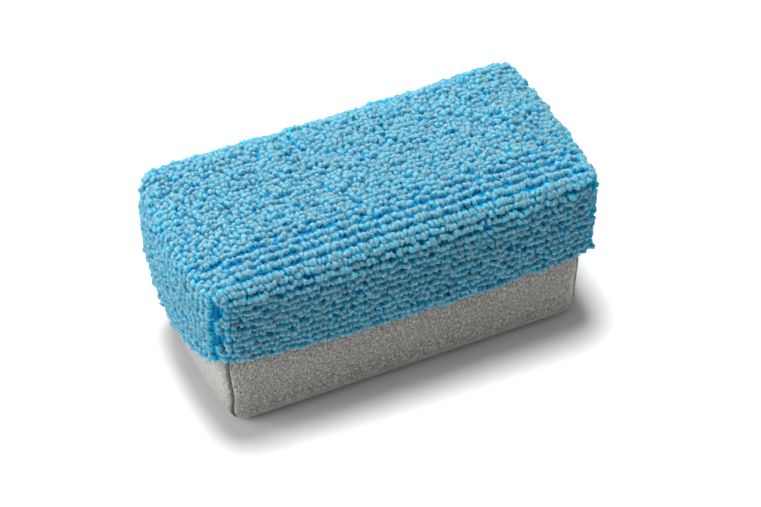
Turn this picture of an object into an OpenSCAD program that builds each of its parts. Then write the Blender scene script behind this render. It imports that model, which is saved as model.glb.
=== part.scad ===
// Detailing applicator block.
// A foam block wears a terry cap from above and a suede tray from below. The cap's cut edge
// hangs over the tray, a bonding strip holds the two together, and a thin film under the terry
// keeps liquid out of the foam. Every upright corner of the cap and of the tray is sewn.
//
// Millimetres. The origin is the centre of the base, on the surface that the block stands on.
// +X runs along the block and +Z is up.

/* [Block] */
// Length over the terry cap, from corner to corner
block_len = 90; // [70:1:120]
// Width over the terry cap
block_w = 45; // [38:1:60]
// Height from the base to the top of the pile
block_h = 44; // [40:1:60]
// How far each end stands out at its middle
end_bulge = 3; // [0:0.5:5]
// How far each long side leans in, from the top down to the base
side_lean = 0.9; // [0:0.1:2]
// How far each end leans in, from the top down to the base
end_lean = 2.4; // [0:0.1:4]
// Radius of the cap's top edges and upright corners
edge_r = 4; // [3.6:0.1:5]

/* [Terry cap] */
// Thickness of the terry, ground cloth and pressed pile together
terry_t = 1.8; // [1.4:0.1:2.2]
// Height of the cap's cut edge at the corners
cut_corner_z = 22; // [18:0.5:24]
// How much lower the cut edge hangs at the middle of each long side
side_dip = 2.5; // [1:0.5:6]
// How much lower the cut edge hangs at the middle of each end
end_dip = 5.5; // [1:0.5:6]

/* [Suede tray] */
// Thickness of the suede
suede_t = 0.9; // [0.6:0.1:1.1]
// Radius of the tray's bottom edges
base_edge_r = 2; // [1:0.1:2]
// How far the tray reaches up inside the cap, above the highest point of the cut edge
tray_tuck = 5; // [3:0.5:5]

/* [Film and bonding strip] */
// Thickness of the film, and of the bonding strip below it
film_t = 0.2; // [0.1:0.05:0.3]
// Gap between the tray's rim and the film's lower edge
film_gap = 1; // [0.5:0.5:1.5]

/* [Seams] */
// Diameter of the sewing thread
thread_d = 0.6; // [0.4:0.05:0.8]
// Length of one stitch
stitch_len = 2.6; // [2:0.1:4]
// Space between two stitches
stitch_gap = 0.9; // [0.5:0.1:1.5]
// Radius of the furrow that a seam pulls into a corner
furrow_r = 0.7; // [0.6:0.05:0.9]

/* [Hidden] */

// Depth of each layer, measured inwards from the cap's outer surface
film_depth = terry_t;
tray_depth = film_depth + film_t;
core_depth = tray_depth + suede_t;

tray_h = cut_corner_z + tray_tuck;
film_low_z = tray_h + film_gap;
strip_margin = 0.5;
least_edge_r = 0.5;
skin = 0.01;
arc_step = 15;
bulge_steps = [-0.75, -0.5, -0.25, 0, 0.25, 0.5, 0.75];
post_fn = 32;
thread_fn = 16;
furrow_fn = 16;
lap = 1;

// How much of the lean is left at a height: all of it at the base, none where the top edge starts
function lean_share(z) = max(0, 1 - z / (block_h - edge_r));

// Half the plan's length and width at a height and a depth below the outer surface
function half_len(z, depth) = block_len / 2 - end_lean * lean_share(z) - depth;
function half_w(z, depth) = block_w / 2 - side_lean * lean_share(z) - depth;

// Radius of a circle whose arc over a half chord rises by a sagitta
function arc_radius(half_chord, rise) = (half_chord * half_chord + rise * rise) / (2 * rise);

// Places of the posts that a level is stretched over: two rows along the ends, bowed outwards
function post_places(z, depth, r) = [
    for (side = [-1, 1], t = concat([-1], bulge_steps, [1]))
        [
            side * (half_len(z, depth) - r + end_bulge * (1 - t * t)),
            t * (half_w(z, depth) - r)
        ]
];

// One level of the block: a thin plate over the posts, its radius r drawn in by the edge's inset
module level(z, at, depth, r, inset)
{
    for (place = post_places(at, depth, r))
        translate([place.x, place.y, z])
            cylinder(h = skin, r = max(r - inset, skin), $fn = post_fn);
}

// The block's outer form at a depth below its surface, from a floor up to its top
module block_form(depth, floor_z, foot_r)
{
    r = max(edge_r - depth, least_edge_r);
    top_z = block_h - depth;
    foot = min(foot_r, r);
    hull()
    {
        for (a = [0 : arc_step : 90])
            level(top_z - r + r * sin(a) - skin, block_h - edge_r, depth, r, r * (1 - cos(a)));
        for (a = [0 : arc_step : 90])
            level(floor_z + foot * (1 - sin(a)), floor_z, depth, r, foot * (1 - cos(a)));
    }
}

// Everything above a height
module above(z)
{
    translate([-block_len, -block_w, z]) cube([2 * block_len, 2 * block_w, 2 * block_h]);
}

// Everything below a height
module below(z)
{
    translate([-block_len, -block_w, z - 2 * block_h])
        cube([2 * block_len, 2 * block_w, 2 * block_h]);
}

// Everything above the cap's cut edge, which hangs lowest at the middle of each side
module above_cut_edge()
{
    side_r = arc_radius(block_len / 2, side_dip);
    end_r = arc_radius(block_w / 2, end_dip);
    translate([0, 0, cut_corner_z - side_dip + side_r])
        rotate([90, 0, 0])
            cylinder(h = 2 * block_w, r = side_r, center = true, $fn = 180);
    translate([0, 0, cut_corner_z - end_dip + end_r])
        rotate([0, 90, 0])
            cylinder(h = 2 * block_len, r = end_r, center = true, $fn = 180);
}

// A point on an upright corner's seam at a height and a depth. side and face are -1 or 1.
function seam_point(side, face, z, depth, sunk) =
    let (r = edge_r - depth, out = (r - sunk) * cos(45))
    [
        side * (half_len(z, depth) - r + out),
        face * (half_w(z, depth) - r + out),
        z
    ];

// Turns what stands on the origin so that it runs from one point towards another
module run_from(foot, run)
{
    translate(foot) rotate([0, acos(run.z / norm(run)), atan2(run.y, run.x)]) children();
}

// The furrow that a seam pulls into a corner between two heights
module furrow(side, face, low_z, high_z, depth)
{
    foot = seam_point(side, face, low_z, depth, 0);
    run = seam_point(side, face, high_z, depth, 0) - foot;
    hull()
        for (reach = [0, 1])
            translate(foot + reach * run) sphere(r = furrow_r, $fn = furrow_fn);
}

// A row of stitches on the floor of that furrow, centred along it
module stitches(side, face, low_z, high_z, depth)
{
    sunk = furrow_r - thread_d / 2;
    foot = seam_point(side, face, low_z, depth, sunk);
    run = seam_point(side, face, high_z, depth, sunk) - foot;
    pitch = stitch_len + stitch_gap;
    count = floor((norm(run) - 2 * lap + stitch_gap) / pitch);
    start = (norm(run) - count * pitch + stitch_gap) / 2;
    run_from(foot, run)
        for (i = [0 : count - 1])
            translate([0, 0, start + i * pitch])
                cylinder(h = stitch_len, d = thread_d, $fn = thread_fn);
}

// Foam block, nipped in where the tray wraps it
module foam_core()
{
    color("ivory")
    {
        intersection()
        {
            block_form(core_depth, suede_t, least_edge_r);
            below(tray_h);
        }
        intersection()
        {
            block_form(tray_depth, 0, least_edge_r);
            above(tray_h);
        }
    }
}

// Thin cap of film between the foam and the terry
module barrier_film()
{
    color("whitesmoke", 0.6)
        difference()
        {
            intersection()
            {
                block_form(film_depth, 0, least_edge_r);
                above(film_low_z);
            }
            block_form(tray_depth, -lap, least_edge_r);
        }
}

// Band of adhesive that holds the cap's lower edge to the tray
module bond_strip()
{
    color("gold")
        difference()
        {
            intersection()
            {
                block_form(film_depth, 0, least_edge_r);
                above(cut_corner_z + strip_margin);
                below(tray_h - strip_margin);
            }
            block_form(tray_depth, -lap, least_edge_r);
        }
}

// Terry cap: a top and four walls from one cloth, with a furrow at each sewn corner
module terry_cover()
{
    color("deepskyblue")
        difference()
        {
            intersection()
            {
                block_form(0, 0, least_edge_r);
                above_cut_edge();
            }
            block_form(film_depth, -lap, least_edge_r);
            for (side = [-1, 1], face = [-1, 1])
                furrow(side, face, cut_corner_z - lap, block_h - edge_r, 0);
        }
}

// Suede tray: a floor and four walls, open at the top
module suede_cover()
{
    color("darkgray")
        difference()
        {
            intersection()
            {
                block_form(tray_depth, 0, base_edge_r);
                below(tray_h);
            }
            block_form(core_depth, suede_t, least_edge_r);
            for (side = [-1, 1], face = [-1, 1])
                furrow(side, face, base_edge_r + lap, tray_h + lap, tray_depth);
        }
}

module terry_seam(side, face)
{
    color("dodgerblue") stitches(side, face, cut_corner_z - lap, block_h - edge_r, 0);
}

module suede_seam(side, face)
{
    color("gray") stitches(side, face, base_edge_r + lap, tray_h + lap, tray_depth);
}

foam_core();
barrier_film();
bond_strip();
terry_cover();
suede_cover();
terry_seam(-1, -1);  // terry_seam_front_left
terry_seam(1, -1);  // terry_seam_front_right
terry_seam(-1, 1);  // terry_seam_back_left
terry_seam(1, 1);  // terry_seam_back_right
suede_seam(-1, -1);  // suede_seam_front_left
suede_seam(1, -1);  // suede_seam_front_right
suede_seam(-1, 1);  // suede_seam_back_left
suede_seam(1, 1);  // suede_seam_back_right
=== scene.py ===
# %% [markdown]
# # A detailing applicator block, from the inside out
#
# The real thing is a block of soft foam that fits in the hand. A looped terry cap covers it
# from above and a suede tray from below. The cap's cut edge hangs over the tray, a bonding
# strip holds the two together, and a thin film under the terry keeps liquid out of the foam.
# All of it is soft, so nothing here is a plain box: cloth bows between its seams, the seams
# pull furrows into the corners, and the terry is thousands of separate loops.

# %% Load the frame
import math
import bpy
import numpy as np
from mathutils import Matrix, Vector


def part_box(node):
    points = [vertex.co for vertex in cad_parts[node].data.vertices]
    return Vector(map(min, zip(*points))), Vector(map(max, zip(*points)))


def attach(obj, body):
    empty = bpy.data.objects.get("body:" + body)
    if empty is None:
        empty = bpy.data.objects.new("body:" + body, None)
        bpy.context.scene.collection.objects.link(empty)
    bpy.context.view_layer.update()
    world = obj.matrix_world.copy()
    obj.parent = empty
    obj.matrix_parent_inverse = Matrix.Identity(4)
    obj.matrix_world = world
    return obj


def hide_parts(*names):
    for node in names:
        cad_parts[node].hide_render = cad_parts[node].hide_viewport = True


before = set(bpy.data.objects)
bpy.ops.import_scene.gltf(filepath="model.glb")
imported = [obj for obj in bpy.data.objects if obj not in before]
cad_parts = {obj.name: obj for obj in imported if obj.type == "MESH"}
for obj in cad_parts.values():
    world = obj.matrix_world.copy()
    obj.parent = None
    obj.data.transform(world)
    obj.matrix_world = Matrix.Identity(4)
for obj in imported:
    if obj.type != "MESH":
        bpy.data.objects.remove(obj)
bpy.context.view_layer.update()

# %% [markdown]
# ## Sizes
#
# The CAD frame holds every size that matters, so the script reads the cap, the tray and the
# other layers from it and only adds what the CAD leaves plain: how far the ends bow, how
# round the edges are and how deep each layer lies. Blender works in metres, so MM turns the
# millimetres that a maker thinks in into metres.

# %% Sizes read from the frame
MM = 0.001
BODY = "root"

cap_low, cap_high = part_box("terry_cover")
tray_low, tray_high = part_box("suede_cover")
film_low, film_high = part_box("barrier_film")

END_BOW = 3 * MM
SIDE_LEAN = 0.9 * MM
END_LEAN = {"left": 4.0 * MM, "right": 1.4 * MM}
EDGE_R = 4 * MM
HALF_L = cap_high.x - END_BOW
HALF_W = cap_high.y
TOP = cap_high.z
SIDE_DIP = 2.5 * MM
END_DIP = 5.5 * MM
CUT_CORNER = cap_low.z + END_DIP
CUT_TILT = 1.1 * MM
TRAY_TOP = tray_high.z
TRAY_DEPTH = 2.0 * MM
print("cap in mm:", [round(1000 * size, 1) for size in (2 * HALF_L, 2 * HALF_W, TOP)])

# %% [markdown]
# ## The block's form as one rule
#
# Every layer follows the same soft form, only deeper or shallower. So the form is one
# function: it takes points on a sharp-edged box and rounds, bows and leans them. A point is
# first pulled in to a smaller box and pushed out again by the edge radius, which rounds all
# edges at once. Then the ends bow out, the walls lean in towards the base, and the top
# crowns a little between its seams. The corners of the top stand up as small ears and the
# ends between them drop into shoulders, as a sewn cover does on soft foam. A subdivided cube
# could be shaped by hand instead, but then each layer would need its own. One rule keeps all
# of them in step, and a number is enough to change them.

# %% The form of the block
CROWN = 0.5 * MM
BACK_EAR = {"left": 0.3 * MM, "right": 1.8 * MM}
FRONT_EAR = 0.3 * MM
SHOULDER_DROP = 1.5 * MM
SHOULDER_IN = 1.3 * MM
SHOULDER_SPAN = 12 * MM
LEAST_R = 1 * MM


def soft_form(flat, depth, corner_r, foot_r=None, lean_by=1.0):
    """Points on a sharp box of that depth, rounded, bowed and leant into the block's form.

    corner_r is the radius of the upright corners at their lower end, on the outermost layer.
    lean_by is how much of the lean this layer follows."""
    half = np.array([HALF_L - depth, HALF_W - depth])
    top, radius = TOP - depth, EDGE_R - depth
    fall = np.clip((top - radius - flat[:, 2]) / (top / 2), 0, 1)[:, None]
    bend = radius + (max(corner_r - depth, LEAST_R) - radius) * fall
    core = flat.copy()
    core[:, :2] = np.clip(flat[:, :2], bend - half, half - bend)
    core[:, 2] = np.minimum(flat[:, 2], top - radius)
    stretch = np.ones_like(flat)
    stretch[:, :2] = bend
    stretch[:, 2] = radius
    if foot_r is not None:
        low = flat[:, 2].min()
        at_foot = flat[:, 2] < low + foot_r
        core[at_foot, 2] = low + foot_r
        stretch[at_foot, 2] = foot_r
    out = (flat - core) / stretch
    reach = np.maximum(np.linalg.norm(out, axis=1, keepdims=True), 1e-9)
    form = core + out / reach * stretch

    along = np.abs(form[:, 0]) / HALF_L
    across = np.clip(form[:, 1] / HALF_W, -1, 1)
    high = np.clip((form[:, 2] - (top - radius)) / radius, 0, 1)
    lean = lean_by * np.clip(1 - form[:, 2] / (TOP - EDGE_R), 0, 1) ** 2
    side = np.sign(form[:, 0])
    end_lean = np.where(side < 0, END_LEAN["left"], END_LEAN["right"])
    back_ear = np.where(side < 0, BACK_EAR["left"], BACK_EAR["right"])
    ear = np.where(across > 0, back_ear, FRONT_EAR)
    form[:, 2] += high * CROWN * (1 - along**2) * (1 - across**2)
    form[:, 2] += high * ear * along**8 * np.abs(across) ** 6
    near_end = np.clip((np.abs(form[:, 0]) - HALF_L + SHOULDER_SPAN) / SHOULDER_SPAN, 0, 1)
    near_top = np.clip((form[:, 2] - TOP + SHOULDER_SPAN) / SHOULDER_SPAN, 0, 1)
    form[:, 2] -= high * SHOULDER_DROP * near_end**2 * (1 - np.abs(across) ** 3)
    form[:, 0] += side * END_BOW * (1 - across**2) * along**6
    form[:, 0] -= side * SHOULDER_IN * near_end * near_top**2 * (1 - np.abs(across) ** 3)
    form[:, 0] -= side * end_lean * lean * along**2
    form[:, 1] -= SIDE_LEAN * lean * across * np.abs(across)
    return form


def cut_edge_z(x, y, half_l, half_w, on_end):
    """Height of the cap's cut edge, which hangs lower at the middle of a wall than beside it."""
    corner = CUT_CORNER - CUT_TILT * x / half_l
    if on_end:
        return corner - END_DIP * (1 - (y / half_w) ** 2)
    return corner - SIDE_DIP * (1 - (x / half_l) ** 2)


# %% [markdown]
# ## Panels
#
# The cap is one cross of cloth: a top and four walls. Each is a grid of points, and the
# grids meet exactly at the folds and at the corner seams, so the points there are shared and
# the cloth is in one piece. The stations stand closer together beside the corners, because
# the seam furrow is narrow. The suede tray is the same cross upside down.

# %% Grids that share their borders
WALLS = ("front", "back", "left", "right")
NEAR_SEAM = [step * MM for step in (0, 0.3, 0.6, 0.9, 1.3, 1.8, 2.5, 3.4)]


def stations(half, pitch):
    """Places from -half to half, crowded beside both ends and evenly spaced between."""
    inner = half - NEAR_SEAM[-1]
    count = max(2, round(2 * inner / pitch))
    middle = np.linspace(-inner, inner, count + 1)[1:-1]
    left = [-half + step for step in NEAR_SEAM]
    return np.concatenate([left, middle, [-place for place in reversed(left)]])


def wall_grid(places, face, half_l, half_w, heights):
    """A wall's grid. face is one of WALLS; heights(x, y, on_end) gives a column's heights."""
    rows = []
    for place in places:
        x, y = {
            "front": (place, -half_w),
            "back": (place, half_w),
            "left": (-half_l, place),
            "right": (half_l, place),
        }[face]
        rows.append([(x, y, z) for z in heights(x, y, face in ("left", "right"))])
    return np.array(rows)


def wall_grids(xs, ys, half_l, half_w, heights):
    """The grids of all four walls, by name."""
    places = {"front": xs, "back": xs, "left": ys, "right": ys}
    return {face: wall_grid(places[face], face, half_l, half_w, heights) for face in WALLS}


def flat_grid(xs, ys, z):
    """A level grid at height z."""
    return np.array([[(x, y, z) for y in ys] for x in xs])


def joined(grids):
    """One list of points for several grids, with shared borders, and each grid's indices."""
    seen, points, indices = {}, [], {}
    for name, grid in grids.items():
        places = np.empty(grid.shape[:2], int)
        for i, column in enumerate(grid):
            for j, point in enumerate(column):
                key = tuple(int(round(value * 1e7)) for value in point)
                if key not in seen:
                    seen[key] = len(points)
                    points.append(point)
                places[i, j] = seen[key]
        indices[name] = places
    return np.array(points), indices


def quads(places, points):
    """The faces of one grid, wound so that they look away from the block's middle."""
    a, b = places[:-1, :-1], places[1:, :-1]
    c, d = places[1:, 1:], places[:-1, 1:]
    faces = np.stack([a, b, c, d], -1).reshape(-1, 4)
    middle = np.array([0, 0, TOP / 2])
    corner = points[faces[:, 0]]
    normal = np.cross(points[faces[:, 1]] - corner, points[faces[:, 3]] - corner).sum(0)
    outward = (points[faces].mean(1) - middle).sum(0)
    return faces if normal @ outward > 0 else faces[:, ::-1]


def new_object(name, points, faces):
    """A mesh object at the origin, smooth shaded."""
    mesh = bpy.data.meshes.new(name)
    mesh.from_pydata(points.tolist(), [], faces.tolist())
    mesh.shade_smooth()
    made = bpy.data.objects.new(name, mesh)
    bpy.context.scene.collection.objects.link(made)
    return made


def thicken(piece, thickness):
    """Gives a skin its thickness, inwards from its outer face."""
    coat = piece.modifiers.new("Thickness", "SOLIDIFY")
    coat.thickness = thickness
    coat.offset = -1


# %% [markdown]
# ## Node helpers
#
# Materials and Geometry Nodes are both trees of nodes. These helpers add a node with its
# settings and inputs in one line, so that each material below reads like a recipe.

# %% Node helpers
def add(tree, kind, inputs=None, **settings):
    """Adds a node. An input is a value, or a socket to link from."""
    made = tree.nodes.new(kind)
    for name, value in settings.items():
        setattr(made, name, value)
    for name, value in (inputs or {}).items():
        if isinstance(value, bpy.types.NodeSocket):
            tree.links.new(value, made.inputs[name])
        else:
            made.inputs[name].default_value = value
    return made


def new_material(name):
    """An empty material with its tree, its Principled shader and Object coordinates."""
    material = bpy.data.materials.new(name)
    material.use_nodes = True
    tree = material.node_tree
    tree.nodes.clear()
    shader = add(tree, "ShaderNodeBsdfPrincipled")
    add(tree, "ShaderNodeOutputMaterial", {"Surface": shader.outputs[0]})
    place = add(tree, "ShaderNodeTexCoord").outputs["Object"]
    return material, tree, shader, place


def noise(tree, place, grain_mm, detail=2.0, roughness=0.5, distortion=0.0):
    """Noise whose lumps are about grain_mm across."""
    inputs = {"Vector": place, "Scale": 1 / (grain_mm * MM), "Detail": detail}
    inputs.update({"Roughness": roughness, "Distortion": distortion})
    return add(tree, "ShaderNodeTexNoise", inputs)


def ramp(tree, factor, stops):
    """A colour ramp. stops are (place, colour) pairs."""
    made = add(tree, "ShaderNodeValToRGB", {"Fac": factor})
    band = made.color_ramp
    while len(band.elements) < len(stops):
        band.elements.new(0.5)
    for element, (place, colour) in zip(band.elements, stops):
        element.position = place
        element.color = (*colour, 1)
    return made.outputs["Color"]


def mixed(tree, factor, first, second, blend="MIX"):
    """Mixes two colours."""
    made = add(tree, "ShaderNodeMix", data_type="RGBA", blend_type=blend)
    for socket, value in ((0, factor), (6, first), (7, second)):
        if isinstance(value, bpy.types.NodeSocket):
            tree.links.new(value, made.inputs[socket])
        else:
            made.inputs[socket].default_value = value if socket == 0 else (*value, 1)
    return made.outputs[2]


def bump(tree, shader, height, distance_mm, strength=1.0):
    """Bumps the shader by a height field."""
    inputs = {"Height": height, "Distance": distance_mm * MM, "Strength": strength}
    made = add(tree, "ShaderNodeBump", inputs)
    tree.links.new(made.outputs[0], shader.inputs["Normal"])


# %% [markdown]
# ## Blue terry
#
# Microfibre terry looks pale at the tips of its loops and strongly blue between them, where
# light bounces from fibre to fibre. The loops carry an attribute named tip that runs from 0
# at the ground cloth to about 1 at the top, and the colour follows it as painted light: a
# bright saturated blue low down as painted bounce light and a greyer, paler blue at the tips
# as painted sheen, broken up by a fine noise that stands for single fibres. Yarn is mostly
# air, so light goes into it and comes out blue some way off. Subsurface scattering does that
# here, with almost no gloss. A plain glossy surface with the same colours would look like
# beads of plastic.

# %% The terry's materials
# The ramp from root to tip paints light into the yarn's one blue: painted bounce light low down,
# painted sheen at the tips.
ROOT_BLUE = (0.0, 0.44, 0.74)
DEEP_BLUE = (0.0, 0.50, 0.76)
MID_BLUE = (0.04, 0.50, 0.68)
TIP_BLUE = (0.215, 0.43, 0.52)
FIBRE_SHARE = 0.8
TIP_SHIFT = 0.42


def terry_yarn():
    """Looped yarn: bright saturated roots as painted bounce light, greyer pale tips as painted sheen,
    a fine grain of fibres.
    """
    material, tree, shader, place = new_material("terry_yarn")
    tip = add(tree, "ShaderNodeAttribute", attribute_name="tip").outputs["Fac"]
    patch = noise(tree, place, 6, detail=3).outputs["Fac"]
    fine = noise(tree, place, 0.34, detail=3, roughness=0.65).outputs["Fac"]
    grain = {0: fine, 1: FIBRE_SHARE, 2: tip}
    height = add(tree, "ShaderNodeMath", grain, operation="MULTIPLY_ADD")
    level = add(tree, "ShaderNodeMath", {0: height.outputs[0], 1: TIP_SHIFT}, operation="SUBTRACT")
    # Painted light: bright saturated blue near the roots as painted bounce light, greyer and paler at
    # the tips as painted sheen.
    stops = [(0.3, ROOT_BLUE), (0.6, DEEP_BLUE), (0.82, MID_BLUE), (1.0, TIP_BLUE)]
    blue = ramp(tree, level.outputs[0], stops)
    shade = ramp(tree, patch, [(0.3, (0.9, 0.9, 0.92)), (0.7, (1.0, 1.0, 1.0))])
    colour = mixed(tree, 1.0, blue, shade, "MULTIPLY")
    tree.links.new(colour, shader.inputs["Base Color"])
    shader.inputs["Roughness"].default_value = 0.95
    shader.inputs["Specular IOR Level"].default_value = 0.05
    shader.inputs["Subsurface Weight"].default_value = 1.0
    shader.inputs["Subsurface Scale"].default_value = 1.0 * MM
    shader.inputs["Subsurface Radius"].default_value = (0.25, 0.8, 1.0)
    shader.inputs["Sheen Weight"].default_value = 0.06
    shader.inputs["Sheen Roughness"].default_value = 0.5
    shader.inputs["Sheen Tint"].default_value = (0.7, 0.9, 1.0, 1)
    bump(tree, shader, fine, 0.2, 1.0)
    return material


def terry_ground():
    """The knitted ground cloth that shows in the furrows."""
    material, tree, shader, place = new_material("terry_ground")
    patch = noise(tree, place, 1.2, detail=3).outputs["Fac"]
    blue = ramp(tree, patch, [(0.3, (0.0, 0.16, 0.36)), (0.75, (0.0, 0.25, 0.48))])
    tree.links.new(blue, shader.inputs["Base Color"])
    shader.inputs["Roughness"].default_value = 0.9
    shader.inputs["Specular IOR Level"].default_value = 0.1
    ribs = {"Vector": place, "Scale": 1 / (3.4 * MM), "Distortion": 1.5, "Detail": 2.0}
    weave = add(tree, "ShaderNodeTexWave", ribs, bands_direction="X").outputs["Fac"]
    bump(tree, shader, weave, 0.15, 0.7)
    return material


def terry_fuzz():
    """Loose split fibres, paler than the yarn, with a slow change from place to place."""
    material, tree, shader, place = new_material("terry_fuzz")
    patch = noise(tree, place, 0.5, detail=2).outputs["Fac"]
    blue = ramp(tree, patch, [(0.35, (0.04, 0.34, 0.52)), (0.65, (0.34, 0.54, 0.64))])
    tree.links.new(blue, shader.inputs["Base Color"])
    shader.inputs["Roughness"].default_value = 0.9
    shader.inputs["Specular IOR Level"].default_value = 0.1
    return material


TERRY_FUZZ = terry_fuzz()
TERRY_YARN = terry_yarn()
TERRY_GROUND = terry_ground()
print("terry materials:", [finish.name for finish in (TERRY_YARN, TERRY_GROUND, TERRY_FUZZ)])

# %% [markdown]
# ## The cap's ground cloth
#
# The ground cloth lies a loop's height below the tips. It starts as the plain form, a little
# too small, and then Blender's cloth solver blows it up gently with its seams and its cut
# edge pinned, as foam does when it presses against a sewn cover. The top and the walls bow
# between the seams. A limit on how far a point may move keeps the block's size. The same
# could be sculpted, but the solver finds the slack of a real cover by itself. The furrows
# of the corner seams are pulled in afterwards, because the solver would smooth them out.

# %% The ground cloth before it is inflated
GROUND_DEPTH = 1.45 * MM
GROUND_T = 0.35 * MM
CAP_CORNER_R = 2.8 * MM
CAP_LEAN = 0.35
CORNER_OUT = 1.0 * MM
GRID_PITCH = 1.1 * MM
WALL_ROWS = 24


def cap_heights(half_l, half_w, top):
    """Heights of a wall's points, from the top fold down to the cut edge."""

    def column(x, y, on_end):
        low = cut_edge_z(x, y, half_l, half_w, on_end)
        return np.linspace(top, low, WALL_ROWS + 1)

    return column


cap_l, cap_w, cap_top = HALF_L - GROUND_DEPTH, HALF_W - GROUND_DEPTH, TOP - GROUND_DEPTH
xs, ys = stations(cap_l, GRID_PITCH), stations(cap_w, GRID_PITCH)
cap_grids = {"top": flat_grid(xs, ys, cap_top)}
cap_grids.update(wall_grids(xs, ys, cap_l, cap_w, cap_heights(cap_l, cap_w, cap_top)))
cap_flat, cap_index = joined(cap_grids)
cap_points = soft_form(cap_flat, GROUND_DEPTH, CAP_CORNER_R, lean_by=CAP_LEAN)
toward_right = np.clip(cap_points[:, 0] / HALF_L, 0, 1) ** 6
toward_front = np.clip(-cap_points[:, 1] / HALF_W, 0, 1) ** 2
cap_points[:, 0] += CORNER_OUT * toward_right * toward_front
cap_faces = np.concatenate([quads(cap_index[name], cap_points) for name in cap_grids])
print("ground cloth:", len(cap_points), "points,", len(cap_faces), "faces")

# %% Inflating cloth with its seams pinned
SIM_FRAMES = 20
SIM_PRESSURE = 4.0


def inflate(points, faces, pinned, limit):
    """The points after the cloth solver has blown them up, none further than limit."""
    pad = new_object("inflating", points, faces)
    group = pad.vertex_groups.new(name="pinned")
    group.add([int(i) for i in pinned], 1.0, "REPLACE")
    cloth = pad.modifiers.new("Cloth", "CLOTH")
    cloth.settings.use_pressure = True
    cloth.settings.uniform_pressure_force = SIM_PRESSURE
    cloth.settings.effector_weights.gravity = 0
    cloth.settings.vertex_group_mass = "pinned"
    cloth.settings.quality = 5
    cloth.point_cache.frame_start = 1
    cloth.point_cache.frame_end = SIM_FRAMES
    scene = bpy.context.scene
    for step in range(1, SIM_FRAMES + 1):
        scene.frame_set(step)
    graph = bpy.context.evaluated_depsgraph_get()
    settled = pad.evaluated_get(graph).data
    moved = np.empty(len(points) * 3)
    settled.vertices.foreach_get("co", moved)
    scene.frame_set(1)
    bpy.data.objects.remove(pad)
    shift = moved.reshape(-1, 3) - points
    length = np.linalg.norm(shift, axis=1, keepdims=True)
    return points + shift * (limit * np.tanh(length / limit) / np.maximum(length, 1e-9))


SWELL = 0.6 * MM
corner_columns = [cap_index[face][end, :] for face in ("front", "back") for end in (0, -1)]
cut_edges = [cap_index[face][:, -1] for face in WALLS]
cap_pinned = np.unique(np.concatenate(corner_columns + cut_edges))
cap_skin = inflate(cap_points, cap_faces, cap_pinned, SWELL)
swelled = np.linalg.norm(cap_skin - cap_points, axis=1)
print("largest swell in mm:", round(1000 * swelled.max(), 2))

# %% The ground cloth as a piece
FURROW_DEPTH = 1.3 * MM
FURROW_WIDTH = 1.4 * MM
FURROW_FADE = 3 * MM
SWAY_AT = 4 * MM
SWAY_RUN = 3.5 * MM
SWAY_SPAN = 5 * MM
DIAGONAL = math.sqrt(0.5)


def pull_furrows(points, flat, half_l, half_w, depth, width, fade_z, sway=0.0):
    """Pulls the cloth in along the four upright corners, fading out at fade_z.

    sway shifts the seam sideways near its foot, round the corner."""
    gap_x = half_l - np.abs(flat[:, 0])
    gap_y = half_w - np.abs(flat[:, 1])
    away = np.hypot(gap_x, gap_y)
    fade = np.clip((fade_z - flat[:, 2]) / FURROW_FADE, 0, 1)
    pull = depth * np.exp(-((away / width) ** 2)) * fade
    pulled = points.copy()
    pulled[:, 0] -= np.sign(flat[:, 0]) * pull * DIAGONAL
    pulled[:, 1] -= np.sign(flat[:, 1]) * pull * DIAGONAL
    slip = sway * np.exp(-((away / SWAY_SPAN) ** 2) - ((flat[:, 2] - SWAY_AT) / SWAY_RUN) ** 2)
    pulled[:, 0] += np.sign(flat[:, 0]) * slip * DIAGONAL
    pulled[:, 1] -= np.sign(flat[:, 1]) * slip * DIAGONAL
    return pulled


cap_skin = pull_furrows(cap_skin, cap_flat, cap_l, cap_w, FURROW_DEPTH, FURROW_WIDTH, cap_top)
terry_cover = new_object("terry_cover_cloth", cap_skin, cap_faces)
terry_cover.data.materials.append(TERRY_GROUND)
thicken(terry_cover, GROUND_T)
print(terry_cover.name, "has furrows", round(1000 * FURROW_DEPTH, 1), "mm deep")

# %% [markdown]
# ## The pile
#
# Terry is rows of yarn loops. The rows run along the block on the top and the long walls,
# and straight down on the ends. Near the front fold they lie wide apart and in order, and
# elsewhere they are ruffled. So each panel first gets its loop sites: where a loop stands,
# which way is out, which way the row runs and how orderly it is. Sites are skipped beside a
# corner seam, so the ground cloth shows in the furrow there. Scattering loops at random
# would be shorter, but cloth that was knitted in rows shows them wherever it is stretched.

# %% Loop sites on a panel
ROW_PITCH = 2.2 * MM
WALL_PITCH = 1.95 * MM
LOOSE_PITCH = 1.4 * MM
ORDERLY_BAND = 11 * MM
RUFFLED_BAND = 9 * MM
LOOP_PITCH = 0.95 * MM
SEAM_CLEAR = 1.0 * MM
RAGGED_SHARE = 0.35
RAGGED_RUN = 1.3 * MM
RUFFLED_ORDER = 0.35
LEAST_ORDER = 0.1
NUDGE = 0.5
INSIDE_LAST = 1.001


def unit(vectors):
    """Vectors scaled to a length of one."""
    return vectors / np.linalg.norm(vectors, axis=1, keepdims=True)


def run_along(line):
    """How far each point of a line lies along it."""
    return np.concatenate([[0], np.cumsum(np.linalg.norm(np.diff(line, axis=0), axis=1))])


def on_grid(grid, s, t):
    """Points of a grid at fractional indices s and t."""
    i = np.minimum(s.astype(int), grid.shape[0] - 2)
    j = np.minimum(t.astype(int), grid.shape[1] - 2)
    u, v = (s - i)[:, None], (t - j)[:, None]
    near = grid[i, j] * (1 - u) + grid[i + 1, j] * u
    far = grid[i, j + 1] * (1 - u) + grid[i + 1, j + 1] * u
    return near * (1 - v) + far * v


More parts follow.
